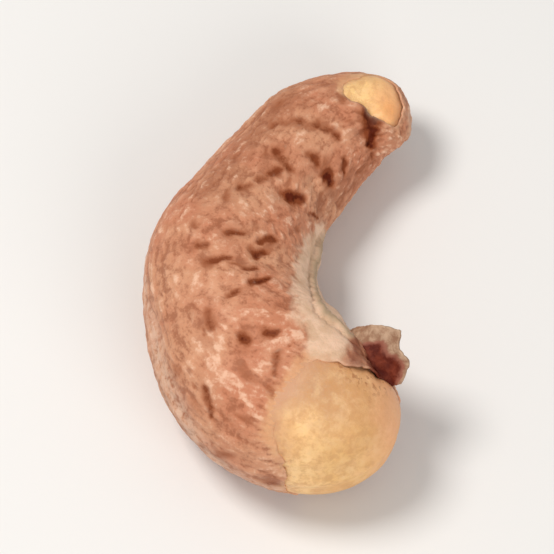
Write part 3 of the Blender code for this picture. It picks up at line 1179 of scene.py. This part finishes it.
# Share of the way along the root, and how far the flap reaches out there in mm
FLAP_REACHES = (
    (0.0, 0.35),
    (0.167, 0.85),
    (0.233, 1.15),
    (0.308, 1.50),
    (0.375, 1.80),
    (0.442, 2.05),
    (0.517, 2.35),
    (0.575, 2.60),
    (0.625, 2.40),
    (0.683, 2.00),
    (0.733, 1.70),
    (0.783, 1.70),
    (0.833, 1.80),
    (0.883, 1.60),
    (0.942, 1.10),
    (1.0, 0.40),
)
# Share of the way along the root, and how far in from its edge the flap is dry and pale in mm; the
# paleness is partly painted light on the lit edge
FLAP_DRY_RIM = ((0.0, 2.8), (0.375, 2.3), (0.5, 1.75), (0.625, 1.35), (0.79, 0.5), (1.0, 0.3))
# The run of the noise along the flap, and where it starts
RUFFLE_RUN, RUFFLE_START = 10.8, 1.8
FLAP_COLUMNS, FLAP_ROWS = 48, 22


def read_off(table, x):
    """The value of a table of (place, value) rows at each x."""
    places, values = np.array(table).T
    return np.interp(x, places, values)


def ruffle(ahead, upward, seed):
    """Noise over the flap, from how far along its root and how far up it each point is."""
    return noise_at(np.column_stack([ahead, upward, 0 * ahead]), 1.0, seed)


def make_flap():
    """The curled flap, a sheet bent up out of the skin, with a notch in its torn edge."""
    deselect_all()
    bpy.ops.mesh.primitive_grid_add(x_subdivisions=FLAP_COLUMNS, y_subdivisions=FLAP_ROWS, size=1)
    flap = bpy.context.object
    flap.name = flap.data.name = "skin_flap"
    grid = points_of(flap)
    across, up = grid[:, 0] + 0.5, grid[:, 1] + 0.5
    (along, degrees), (last_along, last_degrees) = FLAP_ROOT
    place = along + (last_along - along) * across
    around = np.radians(degrees + (last_degrees - degrees) * across)
    root, ahead, out = ways_at(place, around, 0.005)
    over = np.cross(out, ahead)
    over /= np.linalg.norm(over, axis=1)[:, None]
    over *= np.where(over[:, 2] > 0, 1, -1)[:, None]
    run = RUFFLE_RUN * across - RUFFLE_START
    level = 0 * across
    reach = read_off(FLAP_REACHES, across)
    reach += 0.16 * ruffle(run, level, 4.0) + 0.08 * ruffle(run * 26 / 9, level, 6.0)
    ripple = 0.16 * ruffle(run * 7 / 9, up * 2, 8.0) * up
    ripple += 0.06 * ruffle(run * 20 / 9, up * 5, 9.0)
    lean = math.radians(FLAP_LEAN)
    root = root - FLAP_ROOT_DEPTH * out
    radius = (reach + FLAP_ROOT_DEPTH) / lean
    turn = lean * up
    points = root + (radius * np.sin(turn))[:, None] * out
    points += (radius * (1 - np.cos(turn)) + ripple)[:, None] * over
    place_points(flap, points)
    from_edge = (1 - up) * (reach + FLAP_ROOT_DEPTH)
    dry_rim = read_off(FLAP_DRY_RIM, across)
    keep_values(flap, "dry", smooth_step(dry_rim + 0.6, dry_rim - 0.6, from_edge))
    flap.data.materials.append(flap_finish())
    apply_modifier(flap, "SOLIDIFY", thickness=FLAP_THICKNESS * MM, offset=0)
    deselect_all()
    flap.select_set(True)
    bpy.ops.object.mode_set(mode="EDIT")
    bpy.ops.mesh.select_all(action="SELECT")
    bpy.ops.mesh.normals_make_consistent(inside=False)
    bpy.ops.object.mode_set(mode="OBJECT")
    flap.data.shade_smooth()
    return flap


skin = make_skin()
flap = make_flap()
for piece in (skin, flap):
    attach(piece, "root")
    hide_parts("skin")

kernel = make_kernel()
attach(kernel, "root")
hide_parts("kernel")


# Table, lights and camera

TABLE_SIZE, TABLE_COLOUR = 1.2, (0.82, 0.81, 0.79, 1)
# Name, place in mm, width in mm, power in watts and colour of each light
LIGHTS = (
    ("key", (-85, 20, 190), 80, 0.27, (1.0, 0.97, 0.94)),
    ("fill", (90, -170, 110), 160, 0.18, (1.0, 0.98, 0.96)),
)
DAYLIGHT = 0.42
CENTRE_MM = (0, 0, 5)
CAMERA_ELEVATION, CAMERA_DISTANCE, LENS_LENGTH = 62, 0.57, 600


def make_table():
    """A plain pale table, which isn't part of the nut."""
    deselect_all()
    bpy.ops.mesh.primitive_plane_add(size=TABLE_SIZE)
    table = bpy.context.object
    table.name = "table"
    made = Finish("table_top", {})
    table.data.materials.append(made.finish({"Base Color": TABLE_COLOUR, "Roughness": 0.75}))


def make_light(name, place_mm, size_mm, watts, colour):
    """A round soft light that faces the nut."""
    lamp = bpy.data.lights.new(name, "AREA")
    lamp.shape = "DISK"
    lamp.size = size_mm * MM
    lamp.energy = watts
    lamp.color = colour
    holder = bpy.data.objects.new(name, lamp)
    holder.location = Vector(place_mm) * MM
    facing = Vector(CENTRE_MM) * MM - holder.location
    holder.rotation_euler = facing.to_track_quat("-Z", "Y").to_euler()
    bpy.context.scene.collection.objects.link(holder)


def make_daylight():
    """Even white light from all round."""
    world = bpy.context.scene.world or bpy.data.worlds.new("world")
    bpy.context.scene.world = world
    world.use_nodes = True
    sky = world.node_tree.nodes["Background"]
    sky.inputs["Color"].default_value = (1, 1, 1, 1)
    sky.inputs["Strength"].default_value = DAYLIGHT


def make_camera():
    """The camera looks down at the photograph's angle and holds the nut large in the frame."""
    lens = bpy.data.cameras.new("camera")
    lens.lens = LENS_LENGTH
    lens.sensor_width = 36
    lens.clip_start, lens.clip_end = 0.02, 5
    camera = bpy.data.objects.new("camera", lens)
    elevation = math.radians(CAMERA_ELEVATION)
    away = Vector((0, -math.cos(elevation), math.sin(elevation)))
    camera.location = Vector(CENTRE_MM) * MM + away * CAMERA_DISTANCE
    camera.rotation_euler = (-away).to_track_quat("-Z", "Y").to_euler()
    bpy.context.scene.collection.objects.link(camera)
    bpy.context.scene.camera = camera


make_table()
for light in LIGHTS:
    make_light(*light)
make_daylight()
make_camera()
bpy.context.scene.view_settings.view_transform = "Standard"
